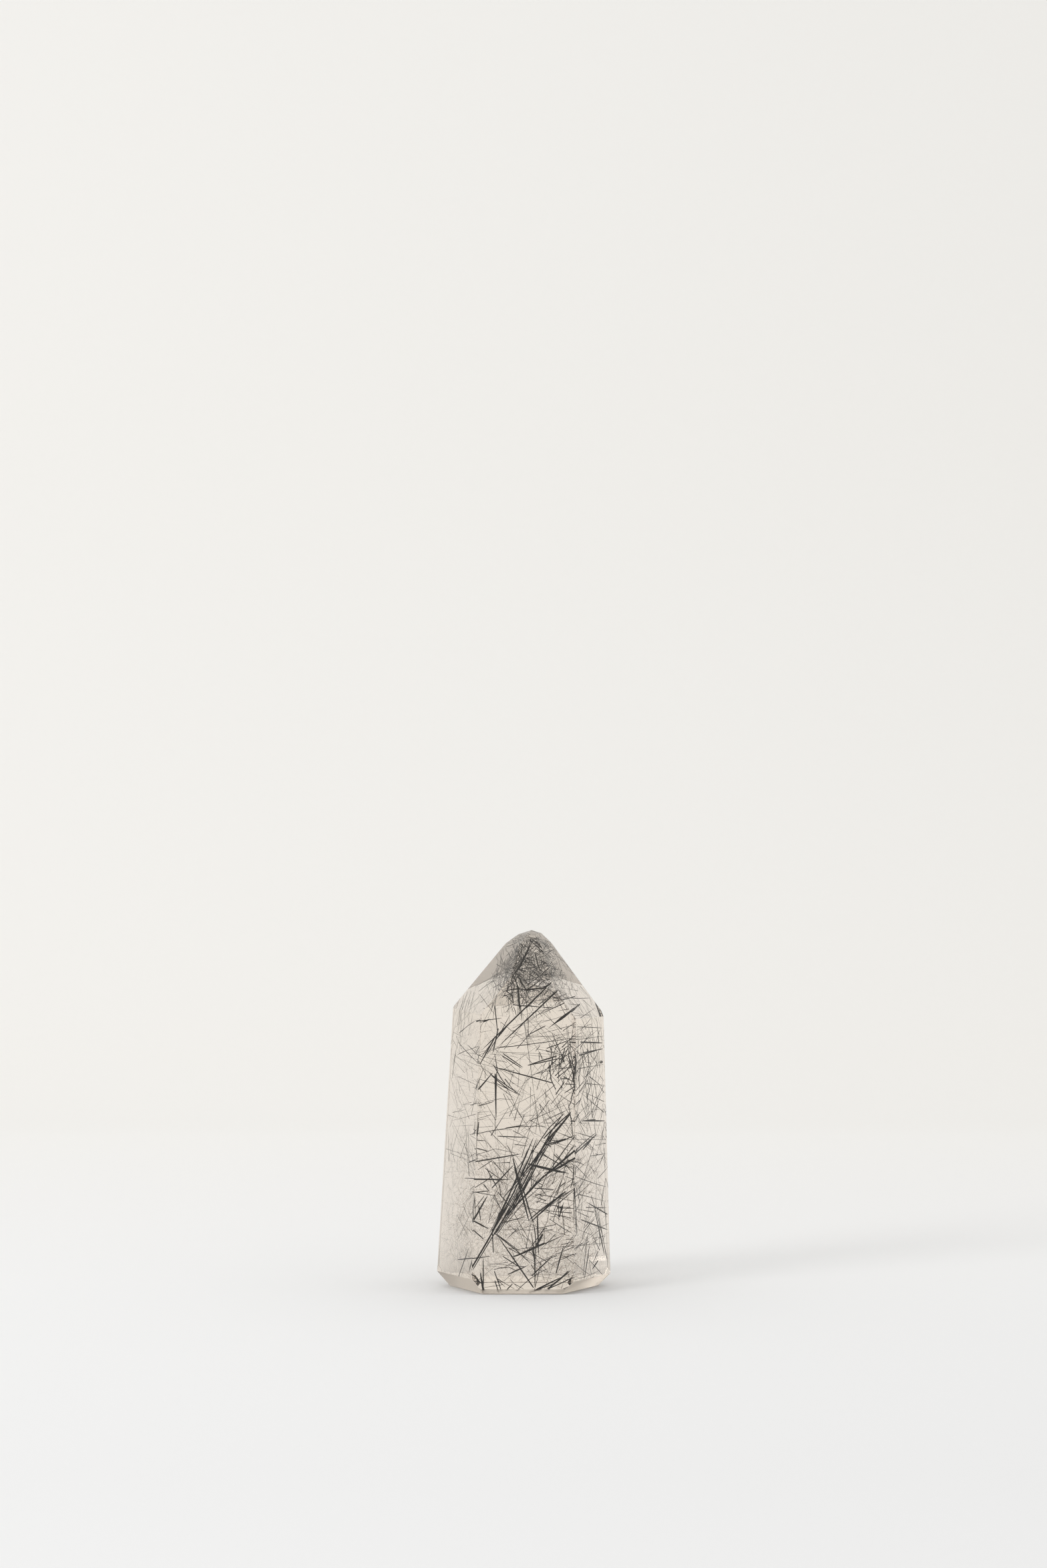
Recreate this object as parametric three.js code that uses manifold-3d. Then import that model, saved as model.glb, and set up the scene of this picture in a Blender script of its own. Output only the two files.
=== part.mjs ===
// A polished tower of tourmalinated quartz: clear quartz with black tourmaline crystals grown
// through it. Millimetres, +Z up, front towards -Y, origin under the middle of its foot.

import * as THREE from 'three';
import { mergeVertices } from 'three/addons/utils/BufferGeometryUtils.js';
import Module from 'manifold-3d';

const wasm = await Module();
wasm.setup();

// Driving dimensions of the stone
const HEIGHT = 70;
const SHOULDER = 55;
const ROUGH_WIDTH = 60;
const WHEEL = 200;

// The six long sides: the way each one faces, and how far it lies from the middle of the stone
// at the foot and at the shoulder
const SIDES = [
  { facing: 270, foot: 12.2, shoulder: 10.3, chamferHeight: 1.0, chamferDepth: 0.8 },
  { facing: 330, foot: 14.48, shoulder: 14.0, chamferHeight: 2.4, chamferDepth: 2.2 },
  { facing: 30, foot: 15.28, shoulder: 13.19, chamferHeight: 2.4, chamferDepth: 2.1 },
  { facing: 90, foot: 11.9, shoulder: 10.1, chamferHeight: 1.2, chamferDepth: 0.5 },
  { facing: 151.2, foot: 15.35, shoulder: 12.02, chamferHeight: 2.8, chamferDepth: 2.4 },
  { facing: 208.8, foot: 14.76, shoulder: 12.25, chamferHeight: 2.9, chamferDepth: 2.3 },
];

// The six facets of the point, which would meet above the tip if it were not rubbed down
const POINT_APEX = [1.3, 0, 73.2];
const POINT_FACETS = [
  { facing: 281.3, slope: 53.0 },
  { facing: 330.6, slope: 57.3 },
  { facing: 30, slope: 57.6 },
  { facing: 92, slope: 61.0 },
  { facing: 151, slope: 54.0 },
  { facing: 211, slope: 54.7 },
];

// The small facets where the tip is blunted
const BLUNT_APEX = [1.7, 0, 71.1];
const BLUNT_FACETS = [
  { facing: 281.3, slope: 40 },
  { facing: 330.6, slope: 48 },
  { facing: 30, slope: 47 },
  { facing: 88, slope: 38 },
  { facing: 151, slope: 39 },
  { facing: 211, slope: 40 },
];
const CROWN_APEX = [1.6, 0, HEIGHT];
const CROWN_SLOPE = 20;

// Crystals end this far under the polish, and lie in the quartz with this gap all round
const SKIN = 0.15;
const GAP = 0.36;
const RUN_OUT = 0.8;

const radians = THREE.MathUtils.degToRad;

// A facet is a plane, given by its outward normal and a point on it
function facet(facing, lift, point) {
  const normal = new THREE.Vector3(
    Math.cos(radians(facing)) * Math.cos(lift),
    Math.sin(radians(facing)) * Math.cos(lift),
    Math.sin(lift),
  );
  return { normal, point };
}

function pointAt(facing, distance, height) {
  const angle = radians(facing);
  return new THREE.Vector3(distance * Math.cos(angle), distance * Math.sin(angle), height);
}

function sideFacet(side) {
  const lean = Math.atan2(side.foot - side.shoulder, SHOULDER);
  return facet(side.facing, lean, pointAt(side.facing, side.foot, 0));
}

function chamferFacet(side) {
  const leanIn = (side.foot - side.shoulder) / SHOULDER;
  const run = side.chamferDepth - leanIn * side.chamferHeight;
  const lift = -Math.atan2(run, side.chamferHeight);
  return facet(side.facing, lift, pointAt(side.facing, side.foot - side.chamferDepth, 0));
}

function slopedFacet(facing, slope, apex) {
  return facet(facing, radians(90 - slope), new THREE.Vector3(...apex));
}

const FACETS = [
  facet(0, -Math.PI / 2, new THREE.Vector3(0, 0, 0)),
  ...SIDES.map(sideFacet),
  ...SIDES.map(chamferFacet),
  ...POINT_FACETS.map(({ facing, slope }) => slopedFacet(facing, slope, POINT_APEX)),
  ...BLUNT_FACETS.map(({ facing, slope }) => slopedFacet(facing, slope, BLUNT_APEX)),
  ...BLUNT_FACETS.map(({ facing }) => slopedFacet(facing, CROWN_SLOPE, CROWN_APEX)),
];

// Joining and cutting work on closed solids whose shared corners are merged
function solidFrom(geometry) {
  geometry.deleteAttribute('normal');
  geometry.deleteAttribute('uv');
  const merged = mergeVertices(geometry);
  const corners = merged.index.array;
  const triangles = [];
  for (let i = 0; i < corners.length; i += 3) {
    const [a, b, c] = corners.slice(i, i + 3);
    if (a !== b && b !== c && c !== a) triangles.push(a, b, c);
  }
  const mesh = new wasm.Mesh({
    numProp: 3,
    vertProperties: Float32Array.from(merged.attributes.position.array),
    triVerts: Uint32Array.from(triangles),
  });
  return new wasm.Manifold(mesh);
}

function geometryFrom(solid) {
  const mesh = solid.getMesh();
  const geometry = new THREE.BufferGeometry();
  geometry.setAttribute('position', new THREE.BufferAttribute(mesh.vertProperties, 3));
  geometry.setIndex(new THREE.BufferAttribute(mesh.triVerts, 1));
  return geometry;
}

// The stone is ground like the real one: a rough block held against a flat wheel, facet by facet
function groundStone(inset) {
  const rough = new THREE.BoxGeometry(ROUGH_WIDTH, ROUGH_WIDTH, HEIGHT * 2);
  let stone = solidFrom(rough);
  const wheelFace = new THREE.Vector3(0, 0, 1);
  for (const { normal, point } of FACETS) {
    const turn = new THREE.Quaternion().setFromUnitVectors(wheelFace, normal);
    const centre = point.clone().addScaledVector(normal, WHEEL / 2 - inset);
    const wheel = new THREE.BoxGeometry(WHEEL, WHEEL, WHEEL);
    wheel.applyQuaternion(turn);
    wheel.translate(centre.x, centre.y, centre.z);
    stone = stone.subtract(solidFrom(wheel));
  }
  return stone;
}

// Outline of a tourmaline needle: how thick it is (as a share of its width) along its length
const NEEDLE_OUTLINE = [[0.78, 0], [1, 0.3], [0.94, 0.62], [0.6, 0.88]];
const SPINDLE_OUTLINE = [[0.45, 0], [0.5, 0.3], [1, 0.5], [0.9, 0.62], [0.35, 0.8]];
const NEEDLE_SIDES = 6;

// A six-sided needle from where it meets the polish to its buried tip
function needle({ from, to, width, outline = NEEDLE_OUTLINE }, gap = 0) {
  const start = new THREE.Vector3(...from);
  const end = new THREE.Vector3(...to);
  const axis = end.clone().sub(start);
  const length = axis.length();
  const tail = gap > 0 ? RUN_OUT : 0;
  const body = outline.map(([share, along]) => [share * width / 2 + gap, along * length]);
  const profile = [
    [0, -tail],
    [body[0][0], -tail],
    ...(gap > 0 ? body : body.slice(1)),
    [0, length + gap * 2],
  ];
  const shape = new THREE.LatheGeometry(
    profile.map(([radius, along]) => new THREE.Vector2(radius, along)),
    NEEDLE_SIDES,
  );
  const turn = new THREE.Quaternion().setFromUnitVectors(
    new THREE.Vector3(0, 1, 0),
    axis.normalize(),
  );
  shape.applyQuaternion(turn);
  shape.translate(start.x, start.y, start.z);
  return solidFrom(shape);
}

// Crystals that grew into each other are one solid
function grown(needles, gap = 0) {
  return needles.map((each) => needle(each, gap)).reduce((whole, next) => whole.add(next));
}

// The main spray: one long crystal rooted at the lower left edge, with shorter ones grown along
// it, and a second bundle that leaves it to the right
const SPRAY = [
  { from: [-10.9, -11.4, 3.9], to: [2.7, -6.8, 30.0], width: 0.6 },
  { from: [-6.2, -10.2, 11.6], to: [1.9, -7.4, 29.9], width: 0.5 },
  { from: [-5.6, -10.5, 11.4], to: [2.2, -7.2, 29.0], width: 0.5 },
  { from: [-5.5, -10.4, 11.4], to: [-0.6, -8.6, 20.6], width: 0.6 },
  { from: [9.0, -5.6, 34.5], to: [-4.2, -9.2, 18.3], width: 0.65 },
  { from: [8.8, -5.6, 34.3], to: [-0.2, -7.9, 24.8], width: 0.45 },
  { from: [7.4, -5.9, 32.4], to: [-2.4, -8.7, 19.9], width: 0.5 },
  { from: [-5.7, -11.3, 8.1], to: [-6.2, -10.0, 12.8], width: 0.42 },
];

// A fan under the tip, cut through by the front facet of the point
const TIP_FAN = [
  { from: [5.7, -9.3, 60.4], to: [-8.4, -8.1, 46.7], width: 0.3 },
  { from: [-4.9, -8.4, 51.2], to: [-6.0, -9.4, 46.3], width: 0.26 },
  { from: [-5.5, -8.3, 49.6], to: [-8.5, -9.6, 44.2], width: 0.26 },
  { from: [-3.0, -7.9, 51.9], to: [-5.6, -8.9, 48.8], width: 0.26 },
];

// A star of short crystals low down behind the front face
const STAR = [
  { from: [2.8, -12.2, 9.5], to: [2.8, -8.9, 9.2], width: 0.6 },
  { from: [4.1, -10.9, 9.8], to: [-1.9, -9.8, 7.0], width: 0.45 },
  { from: [2.7, -9.4, 14.8], to: [2.9, -10.6, 7.2], width: 0.32 },
  { from: [3.7, -10.8, 11.5], to: [2.2, -9.9, 8.7], width: 0.45 },
];

// Three crystals that met end to end across the stone, from the right front edge inwards
const CROSS = [
  { from: [10.8, -10.5, 28.4], to: [1.4, -6.9, 20.2], width: 0.42 },
  { from: [10.3, -11.3, 26.5], to: [4.5, -8.1, 22.9], width: 0.42 },
  { from: [4.0, -7.8, 22.6], to: [-4.0, -4.7, 13.9], width: 0.4 },
];

const CRYSTALS = {
  tourmaline_spray: SPRAY,
  tourmaline_tip_fan: TIP_FAN,
  tourmaline_base_star: STAR,
  tourmaline_cross_crystals: CROSS,
  tourmaline_tip_needle: [
    { from: [6.8, -9.8, 58.8], to: [-5.1, -6.6, 47.4], width: 0.28 },
  ],
  tourmaline_corner_needle: [
    { from: [14.4, -4.0, 30.3], to: [11.0, -8.2, 27.4], width: 0.42 },
  ],
  tourmaline_spindle: [
    { from: [11.3, -5.6, 56.0], to: [4.6, -5.2, 50.9], width: 0.6, outline: SPINDLE_OUTLINE },
  ],
  tourmaline_steep_needle: [
    { from: [-2.2, -11.6, 26.4], to: [1.2, -9.7, 13.4], width: 0.4 },
  ],
  tourmaline_slant_needle: [
    { from: [8.0, -11.8, 19.9], to: [1.1, -7.2, 13.3], width: 0.38 },
  ],
  tourmaline_level_needle: [
    { from: [8.7, -11.6, 23.3], to: [0.9, -10.1, 24.9], width: 0.42 },
  ],
  tourmaline_upper_level_needle: [
    { from: [7.3, -10.9, 46.3], to: [0.9, -8.2, 44.1], width: 0.26 },
  ],
  tourmaline_upright_needle: [
    { from: [-5.5, -11.0, 44.1], to: [-5.3, -8.9, 33.4], width: 0.36 },
  ],
  tourmaline_diagonal_needle: [
    { from: [2.3, -12.3, 0.8], to: [-5.2, -7.9, 11.2], width: 0.28 },
  ],
  tourmaline_lower_edge_needle: [
    { from: [16.7, -0.4, 3.3], to: [13.3, -4.2, 16.4], width: 0.36 },
  ],
  tourmaline_middle_edge_needle: [
    { from: [15.8, -1.6, 33.0], to: [10.6, -8.6, 33.2], width: 0.28 },
  ],
  tourmaline_upper_edge_needle: [
    { from: [15.6, -1.6, 48.0], to: [11.1, -7.8, 48.4], width: 0.26 },
  ],
  tourmaline_stub: [
    { from: [15.6, -1.7, 44.2], to: [12.3, 3.1, 43.8], width: 0.6 },
  ],
  tourmaline_left_foot_needle: [
    { from: [-7.7, -12.1, 0.3], to: [-8.4, -10.5, 4.2], width: 0.38 },
  ],
  tourmaline_middle_foot_needle: [
    { from: [1.6, -12.1, 0.5], to: [7.6, -9.6, 3.2], width: 0.34 },
  ],
  tourmaline_right_foot_needle: [
    { from: [4.6, -12.2, 1.0], to: [9.2, -9.0, 4.4], width: 0.34 },
  ],
  tourmaline_shoulder_needle: [
    { from: [10.7, -9.2, 46.0], to: [14.8, 0.2, 46.7], width: 0.26 },
  ],
  tourmaline_long_sloping_needle: [
    { from: [5.5, -10.6, 40.8], to: [-5.8, -7.7, 43.7], width: 0.26 },
  ],
  tourmaline_short_sloping_needle: [
    { from: [-4.1, -10.4, 46.0], to: [-0.2, -8.5, 43.4], width: 0.24 },
  ],
  tourmaline_forked_needle: [
    { from: [-8.7, -10.6, 39.5], to: [-6.4, -8.3, 42.1], width: 0.24 },
  ],
  tourmaline_highest_needle: [
    { from: [4.2, -10.2, 51.8], to: [0.3, -7.9, 49.6], width: 0.22 },
  ],
  tourmaline_left_level_needle: [
    { from: [-10.5, -8.8, 25.2], to: [-0.2, -5.7, 26.7], width: 0.26 },
  ],
  tourmaline_lower_level_needle: [
    { from: [-9.5, -10.8, 22.1], to: [-2.3, -7.2, 21.8], width: 0.24 },
  ],
  tourmaline_twin_needle: [
    { from: [-6.1, -11.3, 20.5], to: [-1.7, -8.9, 25.0], width: 0.26 },
  ],
  tourmaline_branch_needle: [
    { from: [8.2, -11.0, 30.0], to: [3.6, -9.8, 28.5], width: 0.28 },
  ],
  tourmaline_hanging_needle: [
    { from: [9.8, -11.3, 20.5], to: [9.8, -9.6, 11.3], width: 0.26 },
  ],
  tourmaline_small_spindle: [
    { from: [6.9, -11.5, 14.9], to: [7.8, -9.0, 17.6], width: 0.45, outline: SPINDLE_OUTLINE },
  ],
  tourmaline_right_sloping_needle: [
    { from: [11.1, -9.1, 14.1], to: [15.0, 2.2, 10.9], width: 0.26 },
  ],
  tourmaline_right_steep_needle: [
    { from: [11.8, -8.2, 2.7], to: [12.1, -4.6, 9.1], width: 0.28 },
  ],
  tourmaline_right_rising_needle: [
    { from: [6.3, -11.9, 4.1], to: [7.8, -9.5, 9.3], width: 0.26 },
  ],
  tourmaline_middle_rising_needle: [
    { from: [1.6, -11.9, 3.6], to: [5.9, -7.4, 7.2], width: 0.26 },
  ],
  tourmaline_left_rising_needle: [
    { from: [-12.5, -7.1, 2.8], to: [-9.7, -9.0, 8.8], width: 0.26 },
  ],
  tourmaline_left_foot_upright: [
    { from: [-7.8, -10.9, 0.3], to: [-7.8, -8.4, 7.0], width: 0.26 },
  ],
  tourmaline_right_high_needle: [
    { from: [16.4, 0.0, 14.1], to: [11.0, -4.8, 17.1], width: 0.28 },
  ],
  tourmaline_right_short_needle: [
    { from: [14.5, -3.5, 5.4], to: [12.6, -4.2, 3.8], width: 0.32 },
  ],
  tourmaline_middle_short_needle: [
    { from: [-2.9, -11.9, 3.9], to: [0.8, -7.4, 5.1], width: 0.26 },
  ],
  tourmaline_left_pair: [
    { from: [-9.8, -11.2, 14.0], to: [-6.9, -8.1, 18.9], width: 0.32 },
    { from: [-9.8, -11.2, 14.2], to: [-6.7, -7.2, 12.2], width: 0.32 },
  ],
};

const quartz = new THREE.MeshStandardMaterial({
  color: '#e0dad4',
  roughness: 0.05,
  metalness: 0,
  transparent: true,
  opacity: 0.35,
});
const tourmaline = new THREE.MeshStandardMaterial({
  color: '#17161a',
  roughness: 0.3,
  metalness: 0,
});

function namedMesh(name, solid, material) {
  const mesh = new THREE.Mesh(geometryFrom(solid), material);
  mesh.name = name;
  return mesh;
}

const tower = new THREE.Group();
const stone = groundStone(0);
const underPolish = groundStone(SKIN);

let clearQuartz = stone;
for (const [name, needles] of Object.entries(CRYSTALS)) {
  tower.add(namedMesh(name, grown(needles).intersect(underPolish), tourmaline));
  clearQuartz = clearQuartz.subtract(grown(needles, GAP));
}
tower.add(namedMesh('quartz_tower', clearQuartz, quartz));

// The origin lies under the middle of the stone's own box
const extent = stone.boundingBox();
const middle = [0, 1].map((axis) => (extent.min[axis] + extent.max[axis]) / 2);
tower.position.set(-middle[0], -middle[1], -extent.min[2]);

export default tower;
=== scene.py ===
# %% [markdown]
# # A tower of tourmalinated quartz
# The real object is one crystal of clear quartz, ground to six long sides and a six-sided point,
# with black needles of tourmaline grown through it. This lesson starts from the solids at their
# real size, grinds the clear stone again with softly rounded arrises, fills it with needles and
# hairs, and sets it on a pale floor in soft light.

import itertools
import math
import random

import bmesh
import bpy
from mathutils import Matrix, Vector


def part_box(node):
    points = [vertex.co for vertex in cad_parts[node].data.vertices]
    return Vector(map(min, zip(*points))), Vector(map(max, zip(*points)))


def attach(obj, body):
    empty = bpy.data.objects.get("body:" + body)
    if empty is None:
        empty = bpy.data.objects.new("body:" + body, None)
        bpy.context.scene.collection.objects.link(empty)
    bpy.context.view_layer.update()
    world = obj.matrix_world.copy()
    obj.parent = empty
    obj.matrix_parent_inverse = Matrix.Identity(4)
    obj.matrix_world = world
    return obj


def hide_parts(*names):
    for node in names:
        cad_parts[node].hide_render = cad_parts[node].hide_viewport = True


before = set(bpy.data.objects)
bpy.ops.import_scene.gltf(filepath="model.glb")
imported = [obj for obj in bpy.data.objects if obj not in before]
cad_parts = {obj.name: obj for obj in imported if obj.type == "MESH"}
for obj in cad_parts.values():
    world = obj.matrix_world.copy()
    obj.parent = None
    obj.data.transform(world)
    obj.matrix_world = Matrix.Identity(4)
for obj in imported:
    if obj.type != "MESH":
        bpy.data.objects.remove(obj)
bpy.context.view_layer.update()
MM = 0.001

# %% [markdown]
# ## The facets
# A polished tower is made on a flat wheel: every facet is a plane, and the stone is what is left
# when the wheel has taken away all that stood outside each plane. So the stone is written down
# as a list of planes, in millimetres: where a side faces, and how far it lies from the middle at
# the foot and at the shoulder. The same numbers made the solids.

# %% Facets of the stone
HEIGHT = 70
SHOULDER = 55
SIDES = [
    {"facing": 270, "foot": 12.2, "shoulder": 10.3, "chamfer_height": 1.0, "chamfer_depth": 0.8},
    {"facing": 330, "foot": 14.48, "shoulder": 14.0, "chamfer_height": 2.4, "chamfer_depth": 2.2},
    {"facing": 30, "foot": 15.28, "shoulder": 13.19, "chamfer_height": 2.4, "chamfer_depth": 2.1},
    {"facing": 90, "foot": 11.9, "shoulder": 10.1, "chamfer_height": 1.2, "chamfer_depth": 0.5},
    {"facing": 151.2, "foot": 15.35, "shoulder": 12.02, "chamfer_height": 2.8, "chamfer_depth": 2.4},
    {"facing": 208.8, "foot": 14.76, "shoulder": 12.25, "chamfer_height": 2.9, "chamfer_depth": 2.3},
]
POINT_APEX = (1.3, 0, 73.2)
POINT_SLOPES = {281.3: 53.0, 330.6: 57.3, 30: 57.6, 92: 61.0, 151: 54.0, 211: 54.7}
BLUNT_APEX = (1.7, 0, 71.1)
BLUNT_SLOPES = {281.3: 40, 330.6: 48, 30: 47, 88: 38, 151: 39, 211: 40}
CROWN_APEX = (1.6, 0, HEIGHT)
CROWN_SLOPE = 20


def facet(facing, lift, point):
    """The plane of one facet: its outward normal and a point on it."""
    across = math.cos(lift)
    normal = Vector((math.cos(facing) * across, math.sin(facing) * across, math.sin(lift)))
    return normal, Vector(point)


def side_facet(side):
    facing = math.radians(side["facing"])
    lean = math.atan2(side["foot"] - side["shoulder"], SHOULDER)
    return facet(facing, lean, (side["foot"] * math.cos(facing), side["foot"] * math.sin(facing), 0))


def chamfer_facet(side):
    facing = math.radians(side["facing"])
    leaned = (side["foot"] - side["shoulder"]) / SHOULDER * side["chamfer_height"]
    lift = -math.atan2(side["chamfer_depth"] - leaned, side["chamfer_height"])
    foot = side["foot"] - side["chamfer_depth"]
    return facet(facing, lift, (foot * math.cos(facing), foot * math.sin(facing), 0))


def sloped_facets(slopes, apex):
    return [facet(math.radians(facing), math.radians(90 - slope), apex) for facing, slope in slopes.items()]


FACETS = [facet(0, -math.pi / 2, (0, 0, 0))]
FACETS += [side_facet(side) for side in SIDES]
FACETS += [chamfer_facet(side) for side in SIDES]
FACETS += sloped_facets(POINT_SLOPES, POINT_APEX)
FACETS += sloped_facets(BLUNT_SLOPES, BLUNT_APEX)
FACETS += sloped_facets(dict.fromkeys(BLUNT_SLOPES, CROWN_SLOPE), CROWN_APEX)
print("facets", len(FACETS))

# %% [markdown]
# ## Grinding the stone
# A ground stone has a corner wherever three facets meet, as long as no other facet has cut that
# corner off. So the corners follow from the planes, and the stone is the hull around them. A
# Bevel modifier then rounds every arris by a few tenths of a millimetre, as a soft polishing
# wheel does, and keeps the facets themselves flat, which matters in glass: a bent normal would
# bend all that is seen through the facet.

# %% Grind and bevel
SAME_SPOT = 0.02
ARRIS = 0.14
ARRIS_STEPS = 3
NEARLY_PARALLEL = 1e-4
ON_THE_PLANE = 1e-4


def meeting_point(first, second, third):
    """Where three planes meet, or None where two of them are nearly parallel."""
    rows = Matrix([normal for normal, point in (first, second, third)])
    if abs(rows.determinant()) < NEARLY_PARALLEL:
        return None
    return rows.inverted() @ Vector([normal.dot(point) for normal, point in (first, second, third)])


def ground_stone(facets):
    """A closed mesh of the stone in millimetres, with one face for each facet."""
    corners = []
    for three in itertools.combinations(facets, 3):
        spot = meeting_point(*three)
        if spot is None or any(normal.dot(spot - point) > ON_THE_PLANE for normal, point in facets):
            continue
        if all((spot - corner).length > SAME_SPOT for corner in corners):
            corners.append(spot)
    stone = bmesh.new()
    for corner in corners:
        stone.verts.new(corner)
    bmesh.ops.convex_hull(stone, input=stone.verts)
    bmesh.ops.dissolve_limit(stone, angle_limit=math.radians(1), verts=stone.verts, edges=stone.edges)
    bmesh.ops.recalc_face_normals(stone, faces=stone.faces)
    return stone


def finished_mesh(name, source):
    """The mesh of an object with its modifiers applied, as a new object at the origin."""
    graph = bpy.context.evaluated_depsgraph_get()
    mesh = bpy.data.meshes.new_from_object(source.evaluated_get(graph))
    mesh.name = name
    bpy.data.objects.remove(source)
    piece = bpy.data.objects.new(name, mesh)
    bpy.context.scene.collection.objects.link(piece)
    return piece


def working_object(name, bm):
    mesh = bpy.data.meshes.new(name)
    bm.to_mesh(mesh)
    bm.free()
    holder = bpy.data.objects.new(name, mesh)
    bpy.context.scene.collection.objects.link(holder)
    return holder


stone_cut = ground_stone(FACETS)
low = Vector([min(corner.co[axis] for corner in stone_cut.verts) for axis in range(3)])
high = Vector([max(corner.co[axis] for corner in stone_cut.verts) for axis in range(3)])
solid_low, solid_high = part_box("quartz_tower")
SHIFT = (solid_low + solid_high) / 2 - (low + high) / 2 * MM
SHIFT.z = 0
TO_FRAME = Matrix.Translation(SHIFT) @ Matrix.Scale(MM, 4)
bmesh.ops.transform(stone_cut, matrix=TO_FRAME, verts=stone_cut.verts)
print("stone", len(stone_cut.faces), "faces, shift mm", [round(value / MM, 3) for value in SHIFT])
sharp_stone = working_object("sharp_stone", stone_cut)
rounding = sharp_stone.modifiers.new("arrises", "BEVEL")
rounding.width = ARRIS * MM
rounding.segments = ARRIS_STEPS
rounding.limit_method = "NONE"
rounding.harden_normals = True
for face in sharp_stone.data.polygons:
    face.use_smooth = True
quartz = finished_mesh("clear_quartz", sharp_stone)
print("quartz", len(quartz.data.polygons), "faces")

# %% [markdown]
# ## Clear quartz
# Quartz bends light a little more than window glass, index 1.544, and this one has a faint warm
# grey tint. Transmission gives the see-through body. Most of the tint is the Base Color, which
# light meets once on its way in and once on its way out. The rest is a Volume Absorption, which
# takes its share for each millimetre inside, and so makes the point darker, where light has run
# the length of the stone. A very low, wide noise in the bump is the gentle unevenness left by
# polishing by hand. Where the surface faces down, at the foot and its chamfers, it was left
# finely ground, so its roughness rises there.

# %% Quartz material
QUARTZ_IOR = 1.544
BODY = (0.905, 0.85, 0.785, 1)
TINT = (0.89, 0.80, 0.70, 1)
TINT_DENSITY = 15
POLISH_WAVE = 160
POLISH_DEPTH = 0.02
GROUND_ROUGHNESS = 0.8
STILL_POLISHED = -0.25
FULLY_GROUND = -0.45


def new_material(name):
    """An empty node tree with its output and a principled surface."""
    material = bpy.data.materials.new(name)
    material.use_nodes = True
    tree = material.node_tree
    tree.nodes.clear()
    output = tree.nodes.new("ShaderNodeOutputMaterial")
    surface = tree.nodes.new("ShaderNodeBsdfPrincipled")
    tree.links.new(surface.outputs["BSDF"], output.inputs["Surface"])
    return material, tree, surface, output


def noise_at(tree, scale, detail=2.0, roughness=0.5):
    """A noise that sits still on the piece, read at the piece's own coordinates."""
    place = tree.nodes.new("ShaderNodeTexCoord")
    noise = tree.nodes.new("ShaderNodeTexNoise")
    noise.inputs["Scale"].default_value = scale
    noise.inputs["Detail"].default_value = detail
    noise.inputs["Roughness"].default_value = roughness
    tree.links.new(place.outputs["Object"], noise.inputs["Vector"])
    return noise


def bump_from(tree, surface, height, distance, strength=1.0):
    bump = tree.nodes.new("ShaderNodeBump")
    bump.inputs["Strength"].default_value = strength
    bump.inputs["Distance"].default_value = distance
    tree.links.new(height, bump.inputs["Height"])
    tree.links.new(bump.outputs["Normal"], surface.inputs["Normal"])


def quartz_material():
    material, tree, surface, output = new_material("clear_quartz")
    surface.inputs["Base Color"].default_value = BODY
    surface.inputs["IOR"].default_value = QUARTZ_IOR
    surface.inputs["Transmission Weight"].default_value = 1.0
    wave = noise_at(tree, POLISH_WAVE, detail=1.0)
    bump_from(tree, surface, wave.outputs["Fac"], POLISH_DEPTH * MM)
    place = tree.nodes.new("ShaderNodeTexCoord")
    parts = tree.nodes.new("ShaderNodeSeparateXYZ")
    tree.links.new(place.outputs["Normal"], parts.inputs[0])
    facing_down = tree.nodes.new("ShaderNodeMapRange")
    facing_down.inputs["From Min"].default_value = STILL_POLISHED
    facing_down.inputs["From Max"].default_value = FULLY_GROUND
    facing_down.inputs["To Max"].default_value = GROUND_ROUGHNESS
    tree.links.new(parts.outputs["Z"], facing_down.inputs["Value"])
    tree.links.new(facing_down.outputs[0], surface.inputs["Roughness"])
    body = tree.nodes.new("ShaderNodeVolumeAbsorption")
    body.inputs["Color"].default_value = TINT
    body.inputs["Density"].default_value = TINT_DENSITY
    tree.links.new(body.outputs["Volume"], output.inputs["Volume"])
    return material


quartz.data.materials.clear()
quartz.data.materials.append(quartz_material())

# %% [markdown]
# ## Black tourmaline
# The stout needles are the solids themselves, which lie in the quartz where the real ones do.
# Tourmaline is black with a glassy lustre and fine grooves, and where a needle is thin it turns
# brown. Three materials do this: for the stout crystals, for hairs, and for the brownish hairs
# that cloud the lower part.

# %% Tourmaline materials
BLACK = (0.015, 0.012, 0.008, 1)
BROWN_BLACK = (0.036, 0.03, 0.021, 1)
HAIR_DARK = (0.022, 0.02, 0.018, 1)
HAIR_LIGHT = (0.06, 0.053, 0.045, 1)
HAIR_BROWN = (0.2, 0.11, 0.04, 1)
HAIR_TAN = (0.36, 0.24, 0.12, 1)
LUSTRE = 0.08
PATCH_SCALE = 900
GROOVE_SCALE = 6000


def tourmaline_material(name, dark, light, roughness, groove):
    material, tree, surface, output = new_material(name)
    patches = noise_at(tree, PATCH_SCALE, detail=3.0)
    mix = tree.nodes.new("ShaderNodeMix")
    mix.data_type = "RGBA"
    mix.inputs["A"].default_value = dark
    mix.inputs["B"].default_value = light
    tree.links.new(patches.outputs["Fac"], mix.inputs["Factor"])
    tree.links.new(mix.outputs["Result"], surface.inputs["Base Color"])
    surface.inputs["Roughness"].default_value = roughness
    surface.inputs["Specular IOR Level"].default_value = LUSTRE
    grooves = noise_at(tree, GROOVE_SCALE, detail=2.0)
    bump_from(tree, surface, grooves.outputs["Fac"], groove * MM)
    return material


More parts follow.
